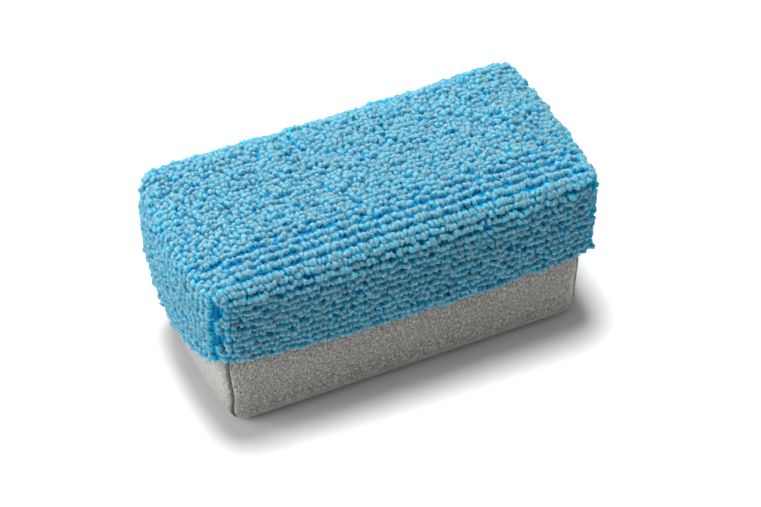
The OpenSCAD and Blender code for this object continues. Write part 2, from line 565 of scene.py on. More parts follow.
def row_lines(span, orderly, wide_pitch, close_pitch):
    """Places of the rows across a panel, at one pitch up to orderly and at another beyond it."""
    wide = round(orderly / wide_pitch)
    close = round((span - wide * wide_pitch) / close_pitch)
    edges = np.concatenate([[0], np.cumsum([wide_pitch] * wide + [close_pitch] * close)])
    return (edges[1:] + edges[:-1]) / 2 * span / edges[-1]


def panel_sites(name, rows_down):
    """Loop sites on one panel: places, outward and row directions, and how orderly each is.

    rows_down says that the rows run down the panel's second direction, as on the ends."""
    grid = cap_skin[cap_index[name]]
    flat = cap_grids[name]
    span_s, span_t = run_along(flat[:, 0]), run_along(flat[len(flat) // 2])
    across, along = (span_s, span_t) if rows_down else (span_t, span_s)
    if name == "top":
        rows = row_lines(across[-1], ORDERLY_BAND, ROW_PITCH, LOOSE_PITCH)
    else:
        rows = row_lines(across[-1], 0, ROW_PITCH, WALL_PITCH)
    count = round(along[-1] / LOOP_PITCH)
    chance = np.random.default_rng(len(rows))
    starts = [np.arange(count) + chance.random() for _ in rows]
    row = np.repeat(rows, count)
    loop = np.concatenate(starts) * along[-1] / count
    at_s, at_t = (row, loop) if rows_down else (loop, row)
    s = np.interp(at_s, span_s, np.arange(len(span_s)))
    t = np.interp(at_t, span_t, np.arange(len(span_t)))
    place = on_grid(grid, s, t)
    last_s, last_t = len(span_s) - INSIDE_LAST, len(span_t) - INSIDE_LAST
    ds = on_grid(grid, np.minimum(s + NUDGE, last_s), t)
    ds -= on_grid(grid, np.maximum(s - NUDGE, 0), t)
    dt = on_grid(grid, s, np.minimum(t + NUDGE, last_t))
    dt -= on_grid(grid, s, np.maximum(t - NUDGE, 0))
    facing = unit(np.cross(ds, dt))
    outward = place - np.array([0, 0, TOP / 2])
    facing *= np.sign((facing * outward).sum(1).mean())
    if name == "top":
        order = np.clip(1 - (place[:, 1] + HALF_W) / ORDERLY_BAND, LEAST_ORDER, 1.0)
        keep = np.ones(len(s), bool)
    else:
        seam = np.minimum(at_s, span_s[-1] - at_s)
        order = np.clip(seam / RUFFLED_BAND, 0, RUFFLED_ORDER)
        ripple = np.sin(place[:, 2] / RAGGED_RUN + 2 * np.sign(place[:, 0]))
        keep = seam > SEAM_CLEAR * (1 + RAGGED_SHARE * ripple)
    row_way = unit(dt if rows_down else ds)
    return place[keep], facing[keep], row_way[keep], order[keep]


sites = {}
for name in cap_grids:
    sites[name] = panel_sites(name, rows_down=name in ("left", "right"))
    print(name, "panel:", len(sites[name][0]), "loop sites")

# %% [markdown]
# ## Growing loops with Geometry Nodes
#
# A Geometry Nodes tree is a recipe that Blender runs on points. This one makes four slightly
# different loops, stands one of them on each site, spins it, and tips and shifts it by a
# smooth noise, so that neighbours lean together in tufts. Then it roughens the yarn. Where
# a site is orderly, all of that is held back. Hair curves could do the same, but thick loops
# need a real surface, and the tree's named sizes are easy to try out by hand.

# %% Helpers for Geometry Nodes trees
YARN_SIDES = 8


def new_tree(name, inputs):
    """A Geometry Nodes tree with named inputs, each (name, socket kind, default)."""
    tree = bpy.data.node_groups.new(name, "GeometryNodeTree")
    face = tree.interface
    face.new_socket("Geometry", in_out="INPUT", socket_type="NodeSocketGeometry")
    for title, kind, default in inputs:
        made = face.new_socket(title, in_out="INPUT", socket_type=kind)
        if default is not None:
            made.default_value = default
    face.new_socket("Geometry", in_out="OUTPUT", socket_type="NodeSocketGeometry")
    return tree, add(tree, "NodeGroupInput").outputs


def value(tree, operation, *numbers):
    """A Math node's result."""
    return add(tree, "ShaderNodeMath", dict(enumerate(numbers)), operation=operation).outputs[0]


def vector(tree, operation, first, second=None, scale=None):
    """A Vector Math node's result."""
    inputs = {0: first}
    if second is not None:
        inputs[1] = second
    if scale is not None:
        inputs["Scale"] = scale
    return add(tree, "ShaderNodeVectorMath", inputs, operation=operation).outputs[0]


def random_float(tree, low, high, seed):
    """A random number for each point."""
    inputs = {2: low, 3: high, "Seed": seed}
    return add(tree, "FunctionNodeRandomValue", inputs, data_type="FLOAT").outputs[1]


def named_vector(tree, name):
    """A vector attribute of the sites."""
    made = add(tree, "GeometryNodeInputNamedAttribute", {"Name": name}, data_type="FLOAT_VECTOR")
    return made.outputs["Attribute"]


def named_number(tree, name):
    """A number that each site carries."""
    made = add(tree, "GeometryNodeInputNamedAttribute", {"Name": name}, data_type="FLOAT")
    return made.outputs["Attribute"]


def random_push(tree, seed):
    """A random vector for each point, up to 1 either way along each axis."""
    inputs = {0: (-1, -1, -1), 1: (1, 1, 1), "Seed": seed}
    made = add(tree, "FunctionNodeRandomValue", inputs, data_type="FLOAT_VECTOR")
    return made.outputs[0]


def spot_at(tree, x=0.0, y=0.0, z=0.0):
    """A vector from three numbers or sockets."""
    return add(tree, "ShaderNodeCombineXYZ", {"X": x, "Y": y, "Z": z}).outputs[0]


def arched_yarn(tree, ends, steps, yarn, thin, swell):
    """A yarn along a Bezier arch, with ends from start to end, thicker at its crown."""
    titles = ("Start", "Start Handle", "End Handle", "End")
    inputs = {"Resolution": steps, **dict(zip(titles, ends))}
    arch = add(tree, "GeometryNodeCurvePrimitiveBezierSegment", inputs, mode="POSITION")
    share = add(tree, "GeometryNodeSplineParameter").outputs["Factor"]
    crown = value(tree, "SINE", value(tree, "MULTIPLY", share, math.pi))
    radius = value(tree, "MULTIPLY_ADD", crown, swell, thin)
    thick = add(tree, "GeometryNodeSetCurveRadius", {"Curve": arch.outputs[0], "Radius": radius})
    ring = add(tree, "GeometryNodeCurvePrimitiveCircle", {"Resolution": YARN_SIDES, "Radius": yarn})
    inputs = {"Curve": thick.outputs[0], "Profile Curve": ring.outputs["Curve"], "Fill Caps": True}
    return add(tree, "GeometryNodeCurveToMesh", inputs).outputs[0]


def finish_tree(tree, geometry, material):
    """Gives the grown mesh its material and ends the tree."""
    coated = add(tree, "GeometryNodeSetMaterial", {0: geometry, "Material": material})
    tree.links.new(coated.outputs[0], add(tree, "NodeGroupOutput").inputs[0])
    return tree


# %% One loop of yarn
# A Bezier arch rises to three quarters of its handles, so the handles stand higher than it.
HANDLE_LIFT = 1.35
HANDLE_SPREAD = 1.5
TIP_AT = 1.3


def loop_shape(tree, given, lean):
    """One yarn loop: an arch with round shoulders, thicker at its crown, leaning to a side."""
    reach, height = given["Loop Reach"], given["Loop Height"]
    half = value(tree, "MULTIPLY", reach, 0.5)
    peak = value(tree, "MULTIPLY", height, HANDLE_LIFT)
    ends = (
        spot_at(tree, y=value(tree, "MULTIPLY", half, -1.0)),
        spot_at(tree, y=value(tree, "MULTIPLY", half, -HANDLE_SPREAD), z=peak),
        spot_at(
            tree,
            x=value(tree, "MULTIPLY", reach, lean),
            y=value(tree, "MULTIPLY", half, HANDLE_SPREAD),
            z=peak,
        ),
        spot_at(tree, y=half),
    )
    body = arched_yarn(tree, ends, steps=6, yarn=given["Yarn Radius"], thin=0.75, swell=0.35)
    spot = add(tree, "GeometryNodeInputPosition").outputs[0]
    level = add(tree, "ShaderNodeSeparateXYZ", {0: spot}).outputs["Z"]
    tip = value(tree, "DIVIDE", level, value(tree, "MULTIPLY", height, TIP_AT))
    marked = add(
        tree,
        "GeometryNodeStoreNamedAttribute",
        {"Geometry": body, "Name": "tip", "Value": tip},
        data_type="FLOAT",
        domain="POINT",
    )
    return add(tree, "GeometryNodeGeometryToInstance", {0: marked.outputs[0]}).outputs[0]


# %% The tree that stands loops on the sites
LOOP_LEANS = (-0.5, -0.15, 0.2, 0.55)
LOOP_SINK = 0.15 * MM
ROUGH_GRAIN = 0.75 * MM


def pile_tree():
    """Stands yarn loops on sites that carry the attributes facing, row and order."""
    tree, given = new_tree(
        "terry_pile",
        [
            ("Loop Reach", "NodeSocketFloat", 1.05 * MM),
            ("Loop Height", "NodeSocketFloat", 0.85 * MM),
            ("Yarn Radius", "NodeSocketFloat", 0.53 * MM),
            ("Jitter", "NodeSocketFloat", 0.36 * MM),
            ("Wander", "NodeSocketFloat", 0.55 * MM),
            ("Lean", "NodeSocketFloat", 0.6),
            ("Twist", "NodeSocketFloat", 1.6),
            ("Tuft Size", "NodeSocketFloat", 3.0 * MM),
            ("Roughness", "NodeSocketFloat", 0.34 * MM),
            ("Seed", "NodeSocketInt", 1),
            ("Material", "NodeSocketMaterial", None),
        ],
    )
    facing, row = named_vector(tree, "facing"), named_vector(tree, "row")
    loose = value(tree, "MULTIPLY_ADD", named_number(tree, "order"), -0.75, 1.0)
    place = add(tree, "GeometryNodeInputPosition").outputs[0]
    density = value(tree, "DIVIDE", 1.0, given["Tuft Size"])
    cloud = add(tree, "ShaderNodeTexNoise", {"Vector": place, "Scale": density, "Detail": 1.0})
    drift = vector(tree, "SUBTRACT", cloud.outputs["Color"], (0.5, 0.5, 0.5))

    jitter = value(tree, "MULTIPLY", given["Jitter"], loose)
    roam = value(tree, "MULTIPLY", given["Wander"], value(tree, "MULTIPLY", loose, 2.0))
    push = vector(tree, "SCALE", random_push(tree, given["Seed"]), scale=jitter)
    push = vector(tree, "ADD", push, vector(tree, "SCALE", drift, scale=roam))
    inward = vector(tree, "SCALE", facing, scale=-LOOP_SINK)
    moved = add(tree, "GeometryNodeSetPosition", {"Geometry": given["Geometry"], "Offset": push})
    sunk = add(tree, "GeometryNodeSetPosition", {"Geometry": moved.outputs[0], "Offset": inward})

    tilt = value(tree, "MULTIPLY", given["Lean"], value(tree, "MULTIPLY_ADD", loose, 1.6, 0.4))
    tipped = vector(tree, "SCALE", drift, scale=tilt)
    up = vector(tree, "NORMALIZE", vector(tree, "ADD", facing, tipped))
    axes = {"primary_axis": "Z", "secondary_axis": "X"}
    turn = add(tree, "FunctionNodeAxesToRotation", {0: up, 1: row}, **axes)
    most = value(tree, "MULTIPLY", given["Twist"], loose)
    spin = random_float(tree, value(tree, "MULTIPLY", most, -1.0), most, 11)
    spun = add(tree, "FunctionNodeEulerToRotation", {0: spot_at(tree, z=spin)})
    both = {0: turn.outputs[0], 1: spun.outputs[0]}
    final = add(tree, "FunctionNodeRotateRotation", both, rotation_space="LOCAL")

    variants = add(tree, "GeometryNodeJoinGeometry")
    for lean in LOOP_LEANS:
        tree.links.new(loop_shape(tree, given, lean), variants.inputs[0])
    own = random_float(tree, 0.75, 1.2, 23)
    long = value(tree, "MULTIPLY", own, value(tree, "MULTIPLY_ADD", loose, -0.4, 1.15))
    lift = value(tree, "MULTIPLY_ADD", cloud.outputs["Fac"], 0.5, 0.75)
    which = {4: 0, 5: len(LOOP_LEANS) - 1, "Seed": 5}
    chosen = add(tree, "FunctionNodeRandomValue", which, data_type="INT").outputs[2]
    stood = add(
        tree,
        "GeometryNodeInstanceOnPoints",
        {
            "Points": sunk.outputs[0],
            "Instance": variants.outputs[0],
            "Pick Instance": True,
            "Instance Index": chosen,
            "Rotation": final.outputs[0],
            "Scale": spot_at(tree, own, long, lift),
        },
    )
    real = add(tree, "GeometryNodeRealizeInstances", {0: stood.outputs[0]})

    spot = add(tree, "GeometryNodeInputPosition").outputs[0]
    grain = {"Vector": spot, "Scale": 1 / ROUGH_GRAIN, "Detail": 2.0}
    rough = add(tree, "ShaderNodeTexNoise", grain).outputs["Color"]
    wobble = vector(tree, "SUBTRACT", rough, (0.5, 0.5, 0.5))
    wobble = vector(tree, "SCALE", wobble, scale=value(tree, "MULTIPLY", given["Roughness"], 2.0))
    shaken = add(tree, "GeometryNodeSetPosition", {"Geometry": real.outputs[0], "Offset": wobble})
    smooth = add(tree, "GeometryNodeSetShadeSmooth", {0: shaken.outputs[0]})
    return finish_tree(tree, smooth.outputs[0], given["Material"])


# %% Running a tree
def grown(name, tree, points, marks, settings):
    """The mesh that a tree grows on bare points with marks on them, as a plain object."""
    mesh = bpy.data.meshes.new(name + "_sites")
    mesh.from_pydata(points.tolist(), [], [])
    for title, values in marks.items():
        kind, slot = ("FLOAT_VECTOR", "vector") if values.ndim == 2 else ("FLOAT", "value")
        mesh.attributes.new(title, kind, "POINT").data.foreach_set(slot, values.ravel())
    seedbed = bpy.data.objects.new(name + "_sites", mesh)
    bpy.context.scene.collection.objects.link(seedbed)
    return run_tree(name, tree, seedbed, settings)


def run_tree(name, tree, seedbed, settings):
    """A tree's result on an object, as a plain mesh object. The object itself is removed."""
    # A modifier's input goes by the socket's identifier, because names may repeat.
    modifier = seedbed.modifiers.new("Nodes", "NODES")
    modifier.node_group = tree
    for item in tree.interface.items_tree:
        if item.in_out == "INPUT" and item.name in settings:
            modifier[item.identifier] = settings[item.name]
    bpy.context.view_layer.update()
    graph = bpy.context.evaluated_depsgraph_get()
    final = bpy.data.meshes.new_from_object(seedbed.evaluated_get(graph))
    final.name = name
    made = bpy.data.objects.new(name, final)
    bpy.context.scene.collection.objects.link(made)
    bpy.data.objects.remove(seedbed)
    return made


# %% [markdown]
# ## Fuzz
#
# Microfibre is split as it is finished, and its loose fibres stand off the yarn and soften
# every edge. A second tree scatters thin tapered spikes over the upper part of the loops,
# each leaning its own way. A sheen in the material alone would pale the edges too, but it
# leaves the outline hard. Each spike is a cone of three sides, because there are many.

# %% The tree that grows fuzz on the loops
FUZZ_FROM = 0.45


def fuzz_tree():
    """Scatters fine tapered fibres over the upper part of a mesh, leaning every way."""
    tree, given = new_tree(
        "terry_fuzz",
        [
            ("Spacing", "NodeSocketFloat", 0.35 * MM),
            ("Fibre Length", "NodeSocketFloat", 0.6 * MM),
            ("Fibre Width", "NodeSocketFloat", 0.055 * MM),
            ("Spread", "NodeSocketFloat", 1.1),
            ("Seed", "NodeSocketInt", 1),
            ("Material", "NodeSocketMaterial", None),
        ],
    )
    area = value(tree, "MULTIPLY", given["Spacing"], given["Spacing"])
    inputs = {
        "Mesh": given["Geometry"],
        "Selection": value(tree, "GREATER_THAN", named_number(tree, "tip"), FUZZ_FROM),
        "Density": value(tree, "DIVIDE", 1.0, area),
        "Seed": given["Seed"],
    }
    spots = add(tree, "GeometryNodeDistributePointsOnFaces", inputs, distribute_method="RANDOM")
    inputs = {
        "Vertices": 3,
        "Side Segments": 1,
        "Radius Top": 0.0,
        "Radius Bottom": given["Fibre Width"],
        "Depth": given["Fibre Length"],
    }
    fibre = add(tree, "GeometryNodeMeshCone", inputs, fill_type="NGON")
    swing = vector(tree, "SCALE", random_push(tree, 7), scale=given["Spread"])
    up = vector(tree, "ADD", spots.outputs["Normal"], swing)
    turn = add(tree, "FunctionNodeAlignRotationToVector", {"Vector": up}, axis="Z")
    inputs = {
        "Points": spots.outputs["Points"],
        "Instance": fibre.outputs["Mesh"],
        "Rotation": turn.outputs[0],
        "Scale": spot_at(tree, 1.0, 1.0, random_float(tree, 0.5, 1.3, 31)),
    }
    stood = add(tree, "GeometryNodeInstanceOnPoints", inputs)
    real = add(tree, "GeometryNodeRealizeInstances", {0: stood.outputs[0]})
    return finish_tree(tree, real.outputs[0], given["Material"])


def grown_on(name, tree, base, settings):
    """The mesh that a tree grows on another object's mesh, as a plain object."""
    seedbed = bpy.data.objects.new(name + "_bed", base.data)
    bpy.context.scene.collection.objects.link(seedbed)
    return run_tree(name, tree, seedbed, settings)


# %% Growing the pile, panel by panel
# The long panels are grown in two halves, so that no piece has too many faces.
PILE_TREE = pile_tree()
FUZZ_TREE = fuzz_tree()
pile, fuzz = [], []
seed = 1
for panel, (place, facing, row, order) in sites.items():
    halves = [place[:, 0] < 0, place[:, 0] >= 0]
    if panel in ("left", "right"):
        halves = [np.ones(len(place), bool)]
    for half, keep in zip(("", "_b"), halves):
        marks = {"facing": facing[keep], "row": row[keep], "order": order[keep]}
        settings = {"Seed": seed, "Material": TERRY_YARN}
        pile.append(grown("terry_pile_" + panel + half, PILE_TREE, place[keep], marks, settings))
        settings = {"Seed": seed, "Material": TERRY_FUZZ}
        fuzz.append(grown_on("terry_fuzz_" + panel + half, FUZZ_TREE, pile[-1], settings))
        seed += 1
        counts = [len(piece.data.polygons) for piece in (pile[-1], fuzz[-1])]
        print(pile[-1].name, counts[0], "faces,", counts[1], "in fuzz")

# %% [markdown]
# ## The suede tray
#
# The tray is grey microfibre suede, thin and close, with a short brushed nap that shows as
# fine mottling. It is the same cross of cloth from below: a flat floor with rounded edges and
# four walls that tuck up inside the cap. Its corner seams are sewn inside out, so each one
# is a narrow dark crease between two rounded edges. The mesh is pulled in there, and an
# attribute named crease darkens the cloth, because so narrow a gap would need far more
# faces to shade itself. The cap's cut edge presses a shallow groove into the tray. A fine
# noise stands for the nap, since real fibres this short wouldn't show.

# %% The suede's material
# How strongly painted shade darkens the suede in its seam creases.
CREASE_SHADE = 0.8


def suede_cloth():
    """Brushed suede: mottled grey with a fine nap, and painted shade darkening the seam creases."""
    material, tree, shader, place = new_material("suede_cloth")
    mottle = noise(tree, place, 0.65, detail=4, roughness=0.65, distortion=0.4).outputs["Fac"]
    patch = noise(tree, place, 9, detail=2).outputs["Fac"]
    stretched = add(tree, "ShaderNodeMapping", {"Vector": place, "Scale": (1.0, 1.0, 0.45)})
    nap = noise(tree, stretched.outputs[0], 0.3, detail=3, roughness=0.7).outputs["Fac"]
    grey = ramp(tree, mottle, [(0.38, (0.16, 0.152, 0.134)), (0.62, (0.37, 0.353, 0.312))])
    fine = ramp(tree, nap, [(0.4, (0.35, 0.35, 0.35)), (0.6, (1.3, 1.3, 1.3))])
    wide = ramp(tree, patch, [(0.3, (0.95, 0.95, 0.95)), (0.7, (1.03, 1.03, 1.03))])
    colour = mixed(tree, 1.0, mixed(tree, 1.0, grey, fine, "MULTIPLY"), wide, "MULTIPLY")
    # The crease attribute paints shade into the seam creases: the colour is mixed towards near black
    # there.
    crease = add(tree, "ShaderNodeAttribute", attribute_name="crease").outputs["Fac"]
    dark = add(tree, "ShaderNodeMath", {0: crease, 1: CREASE_SHADE}, operation="MULTIPLY").outputs[0]
    tree.links.new(mixed(tree, dark, colour, (0.03, 0.03, 0.028)), shader.inputs["Base Color"])
    shader.inputs["Roughness"].default_value = 0.92
    shader.inputs["Specular IOR Level"].default_value = 0.2
    shader.inputs["Sheen Weight"].default_value = 0.9
    shader.inputs["Sheen Roughness"].default_value = 0.5
    bump(tree, shader, nap, 0.12, 0.7)
    return material


SUEDE = suede_cloth()
print("suede material:", SUEDE.name)

# %% The tray's shape
SUEDE_T = 0.7 * MM
FOOT_R = 4 * MM
TRAY_CORNER_R = 5.5 * MM
CREASE_DEPTH = 1.5 * MM
CREASE_WIDTH = 0.42 * MM
CREASE_SWAY = 1.0 * MM
TUCK = 0.9 * MM
TUCK_SPAN = 1.8 * MM
TRAY_PITCH = 1.4 * MM
FOOT_TOP = 3 * MM
FOOT_ROWS = 8
TRAY_ROWS = 30

tray_l, tray_w = HALF_L - TRAY_DEPTH, HALF_W - TRAY_DEPTH
xs, ys = stations(tray_l, TRAY_PITCH), stations(tray_w, TRAY_PITCH)
foot_rise = np.linspace(0, FOOT_TOP, FOOT_ROWS)
tray_rise = np.concatenate([foot_rise, np.linspace(FOOT_TOP, TRAY_TOP, TRAY_ROWS)[1:]])
tray_grids = {"floor": flat_grid(xs, ys, 0.0)}
tray_grids.update(wall_grids(xs, ys, tray_l, tray_w, lambda x, y, on_end: tray_rise))
tray_flat, tray_index = joined(tray_grids)
tray_points = soft_form(tray_flat, TRAY_DEPTH, TRAY_CORNER_R, FOOT_R)
tray_faces = np.concatenate([quads(tray_index[name], tray_points) for name in tray_grids])


def tucked(points):
    """Points drawn in by a shallow groove where the cap's cut edge presses on the tray."""
    on_end = np.abs(points[:, 0]) / HALF_L > np.abs(points[:, 1]) / HALF_W
    x, y = points[:, 0], points[:, 1]
    end_cut, side_cut = (cut_edge_z(x, y, HALF_L, HALF_W, end) for end in (True, False))
    cut = np.where(on_end, end_cut, side_cut)
    draw = TUCK * np.exp(-(((points[:, 2] - cut) / TUCK_SPAN) ** 2))
    drawn = points.copy()
    drawn[:, 0] *= 1 - draw / HALF_L
    drawn[:, 1] *= 1 - draw / HALF_W
    return drawn


tray_skin = pull_furrows(
    tucked(tray_points), tray_flat, tray_l, tray_w, CREASE_DEPTH, CREASE_WIDTH,
    fade_z=TOP, sway=CREASE_SWAY)
suede_cover = new_object("suede_cover_cloth", tray_skin, tray_faces)
seam_gap = np.hypot(tray_l - np.abs(tray_flat[:, 0]), tray_w - np.abs(tray_flat[:, 1]))
crease = suede_cover.data.attributes.new("crease", "FLOAT", "POINT")
crease.data.foreach_set("value", np.exp(-((seam_gap / CREASE_WIDTH) ** 2)))
suede_cover.data.materials.append(SUEDE)
thicken(suede_cover, SUEDE_T)
print("suede tray:", len(tray_points), "points")

# %% [markdown]
# ## The foam inside
#
# The core is open-cell polyurethane foam, cut from a large block, so its skin is a field of
# small cut cells. It is the same form once more, nipped in where the tray wraps it. The mesh
# is two forms of different depth with the same points, mixed by height, and the cells are a
# bump and a colour pattern with painted shade in their hollows, because real ones would be
# millions of faces nobody sees.

# %% The foam's material and shape
FOAM_TRAY_DEPTH = TRAY_DEPTH + SUEDE_T + 0.2 * MM
FOAM_TOP_DEPTH = TRAY_DEPTH + 0.3 * MM
FOAM_FLOOR = SUEDE_T + 0.1 * MM
FOAM_PITCH = 2.0 * MM
FOAM_ROWS = 28
NIP_SPAN = 1.5 * MM


def foam_skin():
    """Cut open-cell foam: round cells, darker at their middles as painted shade in the hollows, with
    thin pale walls between them.
    """
    material, tree, shader, place = new_material("foam_skin")
    cells = add(tree, "ShaderNodeTexVoronoi", {"Vector": place, "Scale": 1 / (0.9 * MM)})
    walls = cells.outputs["Distance"]
    # Darker at each cell's middle than at its walls: painted shade in the cell hollows.
    cream = ramp(tree, walls, [(0.15, (0.52, 0.48, 0.36)), (0.6, (0.88, 0.85, 0.74))])
    shade = noise(tree, place, 12).outputs["Fac"]
    patch = ramp(tree, shade, [(0.3, (0.94, 0.94, 0.94)), (0.7, (1.0, 1.0, 1.0))])
    tree.links.new(mixed(tree, 1.0, cream, patch, "MULTIPLY"), shader.inputs["Base Color"])
    shader.inputs["Roughness"].default_value = 0.95
    shader.inputs["Specular IOR Level"].default_value = 0.15
    bump(tree, shader, walls, 0.3, 0.8)
    return material


def foam_grids():
    """The core's faces on the sharp box, at the depth of its upper part."""
    half_l, half_w, top = (size - FOAM_TOP_DEPTH for size in (HALF_L, HALF_W, TOP))
    xs, ys = stations(half_l, FOAM_PITCH), stations(half_w, FOAM_PITCH)
    rise = np.linspace(FOAM_FLOOR, top, FOAM_ROWS)
    grids = {"floor": flat_grid(xs, ys, FOAM_FLOOR), "top": flat_grid(xs, ys, top)}
    grids.update(wall_grids(xs, ys, half_l, half_w, lambda x, y, on_end: rise))
    return joined(grids)


foam_flat, foam_index = foam_grids()
nip = [(size - FOAM_TRAY_DEPTH) / (size - FOAM_TOP_DEPTH) for size in (HALF_L, HALF_W)]
narrow = soft_form(foam_flat * [*nip, 1], FOAM_TRAY_DEPTH, TRAY_CORNER_R, FOOT_R)
foam_body = soft_form(foam_flat, FOAM_TOP_DEPTH, TRAY_CORNER_R, FOOT_R)
share = np.clip((foam_flat[:, 2:] - TRAY_TOP) / NIP_SPAN, 0, 1)
foam_body[:, :2] = narrow[:, :2] * (1 - share) + foam_body[:, :2] * share
foam_half = (size - FOAM_TOP_DEPTH for size in (HALF_L, HALF_W))
foam_body = pull_furrows(
    tucked(foam_body), foam_flat, *foam_half, CREASE_DEPTH, FURROW_WIDTH,
    fade_z=TOP, sway=CREASE_SWAY)
foam_faces = np.concatenate([quads(foam_index[name], foam_body) for name in foam_index])
foam_core = new_object("foam_core_block", foam_body, foam_faces)
foam_core.data.materials.append(foam_skin())
print("foam core:", len(foam_faces), "faces")

# %% [markdown]
# ## Film and bonding strip
#
# A cap of thin film lies between the foam and the terry, and a band of adhesive below it
# joins the terry's edge to the tray. Both are the same wrap around the block, with a top for
# the film and without one for the band, and Solidify gives them their thickness. Neither
# shows from outside, so they need no solver: copies of the CAD solids would do, but they
# wouldn't follow the bowed cloth.

# %% Film and strip
FILM_T = 0.12 * MM
WRAP_DEPTH = GROUND_DEPTH + GROUND_T + 0.25 * MM
FILM_ROWS = 18
BAND_ROWS = 6


def clear_film():
    """Thin milky film with faint stretch marks."""
    material, tree, shader, place = new_material("clear_film")
    marks = noise(tree, place, 3, detail=3, distortion=1.0).outputs["Fac"]
    tint = ramp(tree, marks, [(0.3, (0.80, 0.84, 0.87)), (0.7, (0.90, 0.93, 0.95))])
    tree.links.new(tint, shader.inputs["Base Color"])
    shader.inputs["Roughness"].default_value = 0.22
    shader.inputs["Alpha"].default_value = 0.5
    bump(tree, shader, marks, 0.05, 0.5)
    return material


def dried_adhesive():
    """Dried contact adhesive: amber, brushed on unevenly."""
    material, tree, shader, place = new_material("dried_adhesive")
    strokes = noise(tree, place, 1.4, detail=3, distortion=0.8).outputs["Fac"]
    amber = ramp(tree, strokes, [(0.3, (0.62, 0.50, 0.26)), (0.7, (0.84, 0.76, 0.52))])
    tree.links.new(amber, shader.inputs["Base Color"])
    shader.inputs["Roughness"].default_value = 0.45
    bump(tree, shader, strokes, 0.08, 0.6)
    return material


def wrap(name, material, low_z, high_z=None):
    """A thin wrap around the block from low_z up to high_z, or right over the top without it.

    Returns the piece and half its length, half its width and its top before rounding."""
    half_l, half_w, top = HALF_L - WRAP_DEPTH, HALF_W - WRAP_DEPTH, TOP - WRAP_DEPTH
    xs, ys = stations(half_l, GRID_PITCH), stations(half_w, GRID_PITCH)
    if high_z is None:
        rise, grids = np.linspace(low_z, top, FILM_ROWS), {"top": flat_grid(xs, ys, top)}
    else:
        rise, grids = np.linspace(low_z, high_z, BAND_ROWS), {}
    grids.update(wall_grids(xs, ys, half_l, half_w, lambda x, y, on_end: rise))
    flat, index = joined(grids)
    points = soft_form(flat, WRAP_DEPTH, CAP_CORNER_R, lean_by=CAP_LEAN)
    faces = np.concatenate([quads(index[side], points) for side in index])
    points = pull_furrows(points, flat, half_l, half_w, FURROW_DEPTH, FURROW_WIDTH, top)
    made = new_object(name, points, faces)
    made.data.materials.append(material)
    thicken(made, FILM_T)
    print(name, len(faces), "faces")
    return made, half_l, half_w, top


strip_low, strip_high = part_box("bond_strip")
barrier_film, film_l, film_w, film_top = wrap("barrier_film_cap", clear_film(), film_low.z)
bond_strip = wrap("bond_strip_band", dried_adhesive(), strip_low.z, strip_high.z)[0]

# %% [markdown]
# ## Sewing thread
#
# Each upright corner is a seam, and its thread is a row of short stitches on the furrow's
# floor. They are plain, slightly arched yarns, so one small Geometry Nodes tree serves both
# the cap and the tray: it stands one stitch on each mark along the seam. A single curve
# with a wavy profile would be simpler, but then the stitches would run into each other.

# %% The tree that sews a seam
STITCH_LEN = 2.6 * MM
STITCH_GAP = 0.9 * MM
THREAD_LIFT = 0.1 * MM
PROBE = 0.5 * MM


def stitch_tree():
    """Stands arched stitches on marks that carry the attributes facing and row."""
    tree, given = new_tree(
        "seam_stitches",
        [
            ("Stitch Length", "NodeSocketFloat", STITCH_LEN),
            ("Thread Radius", "NodeSocketFloat", 0.22 * MM),
            ("Arch", "NodeSocketFloat", 0.12 * MM),
            ("Material", "NodeSocketMaterial", None),
        ],
    )
    half = value(tree, "MULTIPLY", given["Stitch Length"], 0.5)
    dip = value(tree, "MULTIPLY", given["Arch"], -2.0)
    shape = ((-1.0, dip), (-0.7, given["Arch"]), (0.7, given["Arch"]), (1.0, dip))
    ends = [spot_at(tree, x=value(tree, "MULTIPLY", half, reach), z=high) for reach, high in shape]
    yarn = arched_yarn(tree, ends, steps=8, yarn=given["Thread Radius"], thin=0.6, swell=0.5)
    axes = {"primary_axis": "Z", "secondary_axis": "X"}
    facing, row = named_vector(tree, "facing"), named_vector(tree, "row")
    turn = add(tree, "FunctionNodeAxesToRotation", {0: facing, 1: row}, **axes)
    inputs = {"Points": given["Geometry"], "Instance": yarn, "Rotation": turn.outputs[0]}
    stood = add(tree, "GeometryNodeInstanceOnPoints", inputs)
    real = add(tree, "GeometryNodeRealizeInstances", {0: stood.outputs[0]})
    smooth = add(tree, "GeometryNodeSetShadeSmooth", {0: real.outputs[0]})
    return finish_tree(tree, smooth.outputs[0], given["Material"])


def thread_material(name, dark, pale):
    """Spun polyester thread: fine slanting plies in two close shades."""
    material, tree, shader, place = new_material(name)
    slant = {"Vector": place, "Scale": 1 / (1.6 * MM), "Distortion": 1.0}
    plies = add(tree, "ShaderNodeTexWave", slant, bands_direction="DIAGONAL").outputs["Fac"]
    tree.links.new(ramp(tree, plies, [(0.2, dark), (0.8, pale)]), shader.inputs["Base Color"])
    shader.inputs["Roughness"].default_value = 0.6
    bump(tree, shader, plies, 0.05, 0.6)
    return material


def sewn(name, column, side, face, material):
    """The stitches along one corner column of points, lifted a little off its cloth."""
    steps = run_along(column)
    pitch = STITCH_LEN + STITCH_GAP
    count = int((steps[-1] - STITCH_GAP) // pitch)
    first = (steps[-1] - (count - 1) * pitch) / 2
    marks = first + pitch * np.arange(count)
    spots = [[np.interp(mark + shift, steps, column[:, axis]) for axis in range(3)]
             for shift in (-PROBE, 0, PROBE) for mark in marks]
    before, spots, after = np.array(spots).reshape(3, count, 3)
    row = unit(after - before)
    out = np.array([side, face, 0]) * DIAGONAL
    facing = unit(out - row * (row @ out)[:, None])
    directions = {"facing": facing, "row": row}
    return grown(name, STITCH_TREE, spots + facing * THREAD_LIFT, directions, {"Material": material})


